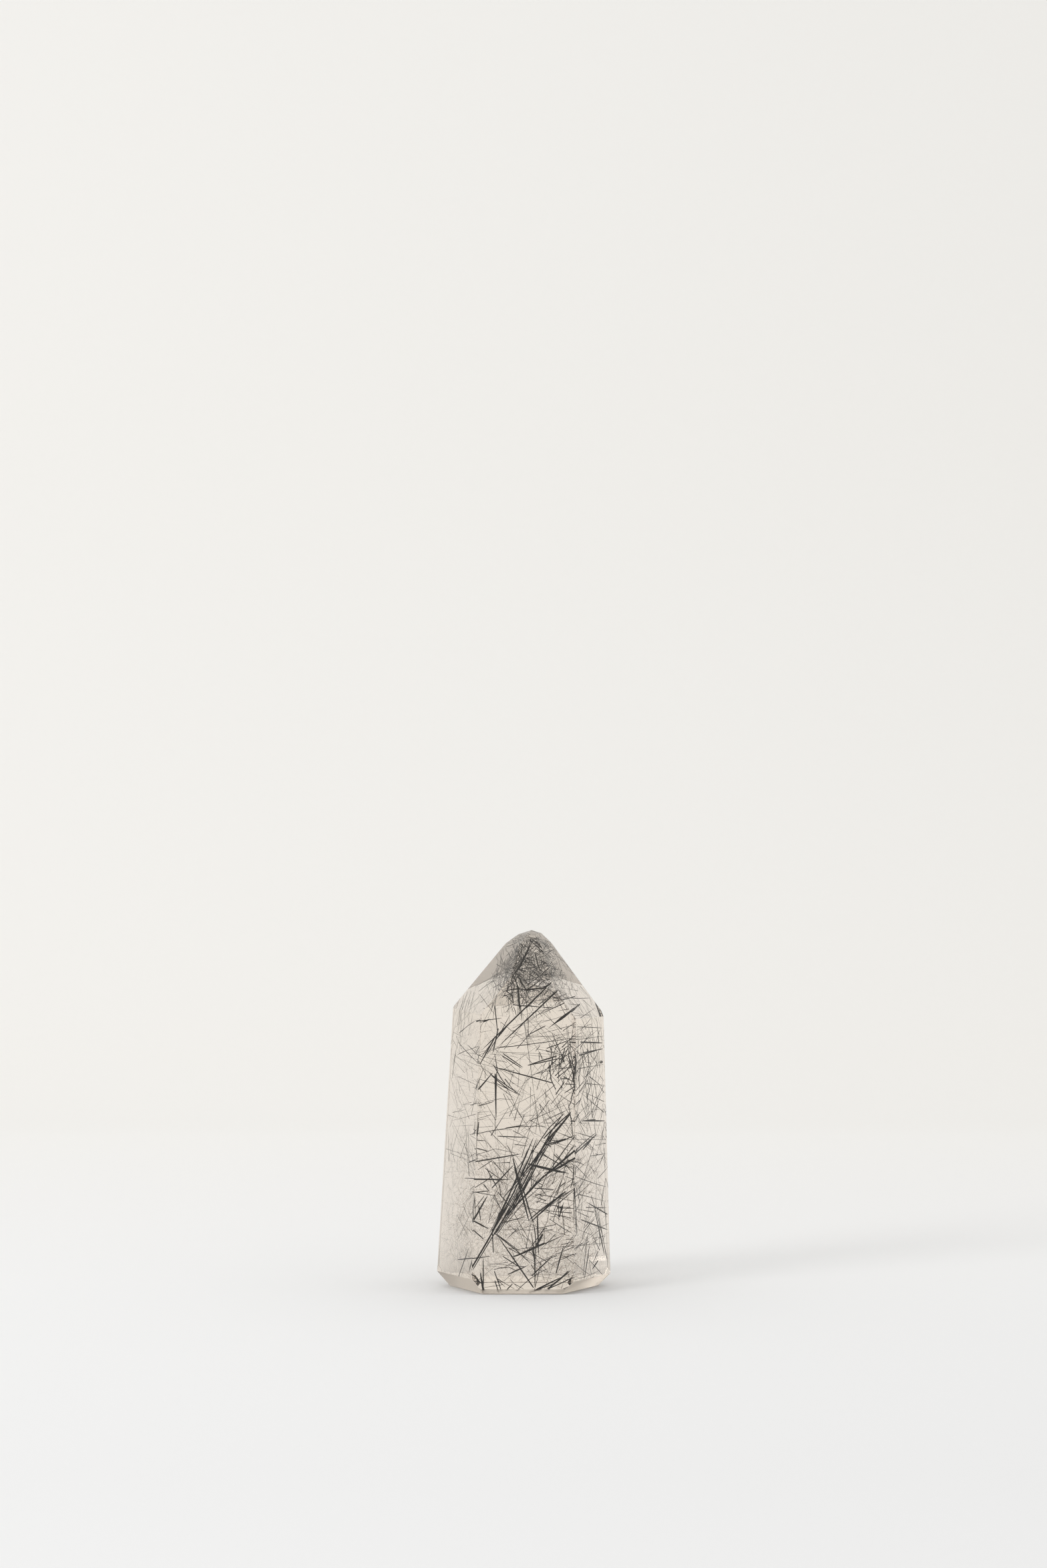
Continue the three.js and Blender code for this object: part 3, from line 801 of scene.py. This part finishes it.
def needle_field_tree():
    """Sprays of tapered needles in a box region of the stone, each kept under the polish."""
    made = Tree("needle_field")
    made.named_input("Needles", "NodeSocketInt", 300)
    made.named_input("Needles a Spray", "NodeSocketInt", 5)
    made.named_input("Seed", "NodeSocketInt", 1)
    made.named_input("Low Corner", "NodeSocketVector")
    made.named_input("High Corner", "NodeSocketVector")
    made.named_input("Lean", "NodeSocketVector")
    made.named_input("Stray", "NodeSocketFloat", 1.0)
    made.named_input("Fan", "NodeSocketFloat", 0.3)
    made.named_input("Shortest", "NodeSocketFloat", 0.002)
    made.named_input("Longest", "NodeSocketFloat", 0.012)
    made.named_input("Thinnest", "NodeSocketFloat", 0.00005)
    made.named_input("Thickest", "NodeSocketFloat", 0.00015)
    made.named_input("Jitter", "NodeSocketFloat", 0.0006)
    made.named_input("Sides", "NodeSocketInt", 5)
    made.named_input("Rings", "NodeSocketInt", 7)
    made.named_input("Skin", "NodeSocketFloat", 0.0003)
    made.named_input("Bend", "NodeSocketFloat", 0.0004)
    made.named_input("Ripple", "NodeSocketFloat", 110.0)
    made.named_input("Material", "NodeSocketMaterial")
    given = made.source.outputs
    seed = given["Seed"]

    def seeded(step):
        return made.sum_of("ADD", seed, float(step))

    index = made.add("GeometryNodeInputIndex").outputs[0]
    spray = made.sum_of("FLOOR", made.sum_of("DIVIDE", index, given["Needles a Spray"]), 0.0)
    spray_spot = made.random_vector(given["Low Corner"], given["High Corner"], seeded(1), spray)
    jitter = made.random_vector((-1, -1, -1), (1, 1, 1), seeded(2))
    jitter = made.vector("SCALE", jitter, scale=given["Jitter"])
    points = made.add("GeometryNodePoints", Count=given["Needles"])
    made.feed(points, "Position", made.vector("ADD", spray_spot, jitter))

    stray = made.random_vector((-1, -1, -1), (1, 1, 1), seeded(3), spray)
    fan = made.random_vector((-1, -1, -1), (1, 1, 1), seeded(4))
    way = made.vector("ADD", given["Lean"], made.vector("SCALE", stray, scale=given["Stray"]))
    way = made.vector("ADD", made.vector("NORMALIZE", way), made.vector("SCALE", fan, scale=given["Fan"]))
    way = made.vector("NORMALIZE", way)
    keep_way = made.add("GeometryNodeStoreNamedAttribute", {"data_type": "FLOAT_VECTOR", "domain": "POINT"})
    made.feed(keep_way, "Geometry", points.outputs[0])
    made.feed(keep_way, "Name", "way")
    made.feed(keep_way, "Value", way)
    kept = made.add("GeometryNodeInputNamedAttribute", {"data_type": "FLOAT_VECTOR"}, Name="way")
    kept_way = kept.outputs["Attribute"]

    def look(direction):
        ray = made.add("GeometryNodeRaycast", {"data_type": "FLOAT"})
        made.feed(ray, "Target Geometry", given["Geometry"])
        made.feed(ray, "Ray Direction", direction)
        made.feed(ray, "Ray Length", LOOK_REACH)
        return ray

    ahead = look(kept_way)
    behind = look(made.vector("SCALE", kept_way, scale=-1.0))
    outward = made.vector("DOT_PRODUCT", ahead.outputs["Hit Normal"], kept_way)
    inside_stone = made.add("FunctionNodeCompare", {"operation": "GREATER_THAN"}, i0=outward, i1=0.0)
    half = made.sum_of("MULTIPLY", made.random_number(given["Shortest"], given["Longest"], seeded(5)), 0.5)
    room_ahead = made.sum_of("SUBTRACT", ahead.outputs["Hit Distance"], given["Skin"])
    room_behind = made.sum_of("SUBTRACT", behind.outputs["Hit Distance"], given["Skin"])
    forward = made.sum_of("MINIMUM", half, room_ahead)
    backward = made.sum_of("MINIMUM", half, room_behind)
    length = made.sum_of("ADD", forward, backward)
    longer = {"operation": "GREATER_THAN"}
    long_enough = made.add("FunctionNodeCompare", longer, i0=length, i1=SHORTEST_KEPT)
    both = made.add("FunctionNodeBooleanMath", {"operation": "AND"})
    made.feed(both, "i0", inside_stone.outputs[0])
    made.feed(both, "i1", long_enough.outputs[0])
    keep_length = made.add("GeometryNodeStoreNamedAttribute", {"data_type": "FLOAT", "domain": "POINT"})
    made.feed(keep_length, "Geometry", keep_way.outputs[0])
    made.feed(keep_length, "Name", "length")
    made.feed(keep_length, "Value", length)
    keep_back = made.add("GeometryNodeStoreNamedAttribute", {"data_type": "FLOAT", "domain": "POINT"})
    made.feed(keep_back, "Geometry", keep_length.outputs[0])
    made.feed(keep_back, "Name", "back")
    made.feed(keep_back, "Value", backward)
    kept_points = made.add("GeometryNodeSeparateGeometry", {"domain": "POINT"})
    made.feed(kept_points, "Geometry", keep_back.outputs[0])
    made.feed(kept_points, "Selection", both.outputs[0])
    back = made.add("GeometryNodeInputNamedAttribute", {"data_type": "FLOAT"}, Name="back")
    slide = made.sum_of("MULTIPLY", back.outputs["Attribute"], -1.0)
    moved = made.add("GeometryNodeSetPosition", Geometry=kept_points.outputs["Selection"])
    made.feed(moved, "Offset", made.vector("SCALE", kept_way, scale=slide))

    needle = made.add("GeometryNodeMeshCone", Vertices=given["Sides"])
    made.feed(needle, "Side Segments", given["Rings"])
    made.feed(needle, "Radius Top", TIP_FULLNESS)
    made.feed(needle, "Radius Bottom", ROOT_FULLNESS)
    made.feed(needle, "Depth", 1.0)
    turn = made.add("FunctionNodeAlignRotationToVector", {"axis": "Z"}, Vector=kept_way)
    kept_length = made.add("GeometryNodeInputNamedAttribute", {"data_type": "FLOAT"}, Name="length")
    width = made.random_number(given["Thinnest"], given["Thickest"], seeded(6))
    size = made.add("ShaderNodeCombineXYZ", X=width, Y=width, Z=kept_length.outputs["Attribute"])
    placed = made.add("GeometryNodeInstanceOnPoints", Points=moved.outputs[0])
    made.feed(placed, "Instance", needle.outputs["Mesh"])
    made.feed(placed, "Rotation", turn.outputs[0])
    made.feed(placed, "Scale", size.outputs[0])
    real = made.add("GeometryNodeRealizeInstances", Geometry=placed.outputs[0])

    noise = made.add("ShaderNodeTexNoise", {"noise_dimensions": "3D"}, Scale=given["Ripple"], Detail=0.0)
    wander = made.vector("SUBTRACT", noise.outputs["Color"], (0.5, 0.5, 0.5))
    bent = made.add("GeometryNodeSetPosition", Geometry=real.outputs[0])
    made.feed(bent, "Offset", made.vector("SCALE", wander, scale=given["Bend"]))
    smooth = made.add("GeometryNodeSetShadeSmooth", Geometry=bent.outputs[0])
    painted = made.add("GeometryNodeSetMaterial", Geometry=smooth.outputs[0], Material=given["Material"])
    made.tree.links.new(painted.outputs[0], made.result.inputs[0])
    return made.tree


NEEDLE_FIELD = needle_field_tree()
FIELD_INPUTS = [item for item in NEEDLE_FIELD.interface.items_tree if item.in_out == "INPUT"]
print("needle field inputs", [item.name for item in FIELD_INPUTS])

# %% Grow the fields


def stone_copy(name):
    mesh = quartz.data.copy()
    mesh.materials.clear()
    holder = bpy.data.objects.new(name, mesh)
    bpy.context.scene.collection.objects.link(holder)
    return holder


def grown_field(name, values):
    """Runs the needle field on a copy of the stone and returns the needles as a plain mesh."""
    holder = stone_copy(name)
    growing = holder.modifiers.new("needles", "NODES")
    growing.node_group = NEEDLE_FIELD
    sockets = {item.name: item.identifier for item in FIELD_INPUTS}
    for key, value in values.items():
        growing[sockets[key]] = value
    return finished_mesh(name, holder)


def corner(x, y, z):
    """A corner in millimetres on the stone's own axis, moved into the shared frame."""
    return tuple(TO_FRAME @ Vector((x, y, z)))


ANY_WAY = {"Lean": (0.0, 0.0, 0.0), "Stray": 1.0}
FIELDS = {
    "tip_tangle": {
        "Needles": 190, "Needles a Spray": 4, "Seed": 15, **ANY_WAY, "Fan": 0.7, "Jitter": 0.0012,
        "Low Corner": corner(-3.6, -9, 57), "High Corner": corner(1.0, -2, 68),
        "Shortest": 0.002, "Longest": 0.007, "Thinnest": 0.00007, "Thickest": 0.00014,
        "Skin": 0.0012, "Bend": 0.0014, "Ripple": 300.0, "Material": black_tourmaline,
    },
    "tip_hair": {
        "Needles": 420, "Needles a Spray": 5, "Seed": 21, **ANY_WAY, "Fan": 0.6, "Jitter": 0.0012,
        "Low Corner": corner(-3, -8, 57), "High Corner": corner(8, 4, 69),
        "Shortest": 0.0025, "Longest": 0.009, "Thinnest": 0.00005, "Thickest": 0.00011,
        "Skin": 0.0009, "Bend": 0.0014, "Ripple": 220.0, "Material": hair_tourmaline,
    },
    "front_needles": {
        "Needles": 60, "Needles a Spray": 3, "Seed": 43, **ANY_WAY, "Fan": 0.3, "Jitter": 0.003,
        "Low Corner": corner(-5, -11.5, 1), "High Corner": corner(12, -3, 52),
        "Shortest": 0.002, "Longest": 0.010, "Thinnest": 0.00007, "Thickest": 0.00022,
        "Skin": 0.0003, "Bend": 0.0001, "Material": black_tourmaline,
    },
    "foot_needles": {
        "Needles": 100, "Needles a Spray": 3, "Seed": 46, **ANY_WAY, "Fan": 0.4, "Jitter": 0.003,
        "Low Corner": corner(-7, -11.5, 1), "High Corner": corner(11, -3, 24),
        "Shortest": 0.002, "Longest": 0.009, "Thinnest": 0.00006, "Thickest": 0.00019,
        "Skin": 0.0003, "Bend": 0.0001, "Material": black_tourmaline,
    },
    "right_needles": {
        "Needles": 110, "Needles a Spray": 3, "Seed": 51, "Lean": (0.0, 0.0, 0.6), "Stray": 0.9,
        "Fan": 0.3, "Jitter": 0.003,
        "Low Corner": corner(6, -8, 1), "High Corner": corner(16, 6, 56),
        "Shortest": 0.003, "Longest": 0.012, "Thinnest": 0.00008, "Thickest": 0.00024,
        "Skin": 0.0003, "Bend": 0.0001, "Material": black_tourmaline,
    },
    "left_needles": {
        "Needles": 40, "Needles a Spray": 3, "Seed": 54, "Lean": (0.0, 0.0, 0.6), "Stray": 0.8,
        "Fan": 0.3, "Jitter": 0.003,
        "Low Corner": corner(-14, -6, 24), "High Corner": corner(-7, 6, 56),
        "Shortest": 0.003, "Longest": 0.012, "Thinnest": 0.00005, "Thickest": 0.00013,
        "Skin": 0.0006, "Bend": 0.0004, "Material": hair_tourmaline,
    },
    "back_needles": {
        "Needles": 90, "Needles a Spray": 3, "Seed": 58, **ANY_WAY, "Fan": 0.3, "Jitter": 0.003,
        "Low Corner": corner(-2, 0, 1), "High Corner": corner(14, 11, 60),
        "Shortest": 0.003, "Longest": 0.012, "Thinnest": 0.00006, "Thickest": 0.00016,
        "Skin": 0.0003, "Bend": 0.0001, "Material": black_tourmaline,
    },
    "upper_hair": {
        "Needles": 140, "Needles a Spray": 4, "Seed": 67, "Lean": (0.0, 0.0, 0.3), "Stray": 0.9,
        "Fan": 0.25, "Jitter": 0.003,
        "Low Corner": corner(-13, -10, 34), "High Corner": corner(14, 10, 60),
        "Shortest": 0.004, "Longest": 0.014, "Thinnest": 0.00004, "Thickest": 0.0001,
        "Skin": 0.0007, "Bend": 0.0005, "Material": hair_tourmaline,
    },
    "lower_hair": {
        "Needles": 100, "Needles a Spray": 4, "Seed": 75, "Lean": (0.0, 0.0, 0.3), "Stray": 0.9,
        "Fan": 0.25, "Jitter": 0.003,
        "Low Corner": corner(-8, -11.5, 1), "High Corner": corner(15, 6, 36),
        "Shortest": 0.004, "Longest": 0.014, "Thinnest": 0.00004, "Thickest": 0.00009,
        "Skin": 0.0004, "Bend": 0.0005, "Material": hair_tourmaline,
    },
    "foot_haze": {
        "Needles": 2200, "Needles a Spray": 24, "Seed": 97, "Lean": (0.0, 0.0, 0.2), "Stray": 1.0,
        "Fan": 0.9, "Jitter": 0.004, "Sides": 3, "Rings": 1,
        "Low Corner": corner(-8, -10.5, 1.6), "High Corner": corner(12, 6, 26),
        "Shortest": 0.001, "Longest": 0.004, "Thinnest": 0.000025, "Thickest": 0.00005,
        "Skin": 0.0007, "Bend": 0.0004, "Material": brown_hair,
    },
    "left_mist": {
        "Needles": 900, "Needles a Spray": 9, "Seed": 91, "Lean": (0.0, 0.0, 0.5), "Stray": 1.0,
        "Fan": 0.8, "Jitter": 0.004, "Sides": 3, "Rings": 1,
        "Low Corner": corner(-15, -7, 1), "High Corner": corner(-6, 8, 57),
        "Shortest": 0.002, "Longest": 0.005, "Thinnest": 0.00002, "Thickest": 0.000035,
        "Skin": 0.0007, "Bend": 0.0005, "Material": hair_tourmaline,
    },
    "mist": {
        "Needles": 1100, "Needles a Spray": 60, "Seed": 83, **ANY_WAY, "Fan": 0.8, "Jitter": 0.005,
        "Sides": 3, "Rings": 1,
        "Low Corner": corner(-10, -8, 4), "High Corner": corner(13, 8, 60),
        "Shortest": 0.0015, "Longest": 0.004, "Thinnest": 0.00002, "Thickest": 0.000035,
        "Skin": 0.0004, "Bend": 0.0002, "Material": hair_tourmaline,
    },
}
fields = [grown_field(name, values) for name, values in FIELDS.items()]
print("fields", [(piece.name, len(piece.data.polygons)) for piece in fields])

# %% [markdown]
# ## Riding and replacing
# Every piece belongs to the one body. The clear quartz takes the place of the plain solid, the
# fine strands take the place of the spray, and needles and hairs are extra pieces inside.

# %% Pieces on the body
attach(quartz, "root")
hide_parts("quartz_tower")
for piece in needle_pieces + fields:
    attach(piece, "root")
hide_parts("tourmaline_spray")

# %% [markdown]
# ## Floor, backdrop and light
# The ground is one pale sheet that curves up far behind the stone, with one soft light from the
# left front that draws a long faint shadow. A bright, even world does most of the lighting, which
# is also what lets a clear stone look clear. The sheet's own colour is graded with painted light
# and shade: brightest where the floor meets the curve, darker towards the front and up the wall.

# %% Backdrop
FLOOR_GAP = 0.0001
SHEET_FRONT = -1.6
SHEET_FLAT_TO = 0.34
SHEET_CURVE = 0.22
SHEET_TOP = 0.9
SHEET_HALF_WIDTH = 1.5
CURVE_STEPS = 24
# Painted light and shade: the paper is one colour, and these tones make it brightest at the foot of the
# curve, darker towards the front, and darker and warmer up the wall.
SHEET_PAINTED_LIGHT_TONES = [
    (-0.2, (0.885, 0.885, 0.885)),
    (0.0, (0.93, 0.93, 0.928)),
    (0.15, (0.945, 0.94, 0.932)),
    (0.31, (0.965, 0.957, 0.938)),
    (0.42, (0.935, 0.922, 0.895)),
    (0.56, (0.896, 0.885, 0.859)),
]


def backdrop_mesh():
    line = [(SHEET_FRONT, 0), (SHEET_FLAT_TO, 0)]
    for step in range(1, CURVE_STEPS + 1):
        turn = math.pi / 2 * step / CURVE_STEPS
        line.append((SHEET_FLAT_TO + SHEET_CURVE * math.sin(turn), SHEET_CURVE * (1 - math.cos(turn))))
    line.append((SHEET_FLAT_TO + SHEET_CURVE, SHEET_TOP))
    bm = bmesh.new()
    rows = []
    for y, z in line:
        left = bm.verts.new((-SHEET_HALF_WIDTH, y, z - FLOOR_GAP))
        right = bm.verts.new((SHEET_HALF_WIDTH, y, z - FLOOR_GAP))
        rows.append((left, right))
    for near, far in zip(rows, rows[1:]):
        bm.faces.new((near[0], near[1], far[1], far[0]))
    return bm


backdrop = working_object("backdrop", backdrop_mesh())
for face in backdrop.data.polygons:
    face.use_smooth = True


# The sheet's colour is the painted light and shade tones, ramped along its length.
def painted_light_backdrop_material():
    material, tree, surface, output = new_material("pale_sheet_painted_light")
    place = tree.nodes.new("ShaderNodeTexCoord")
    parts = tree.nodes.new("ShaderNodeSeparateXYZ")
    tree.links.new(place.outputs["Object"], parts.inputs[0])
    reach = tree.nodes.new("ShaderNodeMapRange")
    reach.inputs["From Min"].default_value = SHEET_PAINTED_LIGHT_TONES[0][0]
    reach.inputs["From Max"].default_value = SHEET_PAINTED_LIGHT_TONES[-1][0]
    tree.links.new(parts.outputs["Y"], reach.inputs["Value"])
    ramp = tree.nodes.new("ShaderNodeValToRGB")
    span = SHEET_PAINTED_LIGHT_TONES[-1][0] - SHEET_PAINTED_LIGHT_TONES[0][0]
    while len(ramp.color_ramp.elements) < len(SHEET_PAINTED_LIGHT_TONES):
        ramp.color_ramp.elements.new(0.5)
    for stop, (y, painted_tone) in zip(ramp.color_ramp.elements, SHEET_PAINTED_LIGHT_TONES):
        stop.position = (y - SHEET_PAINTED_LIGHT_TONES[0][0]) / span
        stop.color = (*painted_tone, 1)
    tree.links.new(reach.outputs[0], ramp.inputs["Fac"])
    tree.links.new(ramp.outputs["Color"], surface.inputs["Base Color"])
    surface.inputs["Roughness"].default_value = 1.0
    surface.inputs["Specular IOR Level"].default_value = 0.0
    return material


backdrop.data.materials.append(painted_light_backdrop_material())

# %% Light
SKY = (0.845, 0.845, 0.842, 1)
SKY_STRENGTH = 1.0
KEY_SPOT = Vector((-0.78, -0.64, 0.42))
KEY_SIZE = 0.42
KEY_POWER = 3.1
KEY_AIM = Vector((0, 0, 0.03))

world = bpy.data.worlds.new("even_daylight")
world.use_nodes = True
sky = world.node_tree.nodes["Background"]
sky.inputs["Color"].default_value = SKY
sky.inputs["Strength"].default_value = SKY_STRENGTH
bpy.context.scene.world = world

key_data = bpy.data.lights.new("window_light", "AREA")
key_data.shape = "DISK"
key_data.size = KEY_SIZE
key_data.energy = KEY_POWER
key = bpy.data.objects.new("window_light", key_data)
key.location = KEY_SPOT
aim = KEY_AIM - KEY_SPOT
key.rotation_euler = aim.to_track_quat("-Z", "Y").to_euler()
bpy.context.scene.collection.objects.link(key)

scene = bpy.context.scene
scene.view_settings.view_transform = "Standard"
scene.cycles.max_bounces = 24
scene.cycles.transmission_bounces = 24
scene.cycles.transparent_max_bounces = 16
print("key light", KEY_POWER, "W at", [round(value, 2) for value in KEY_SPOT])
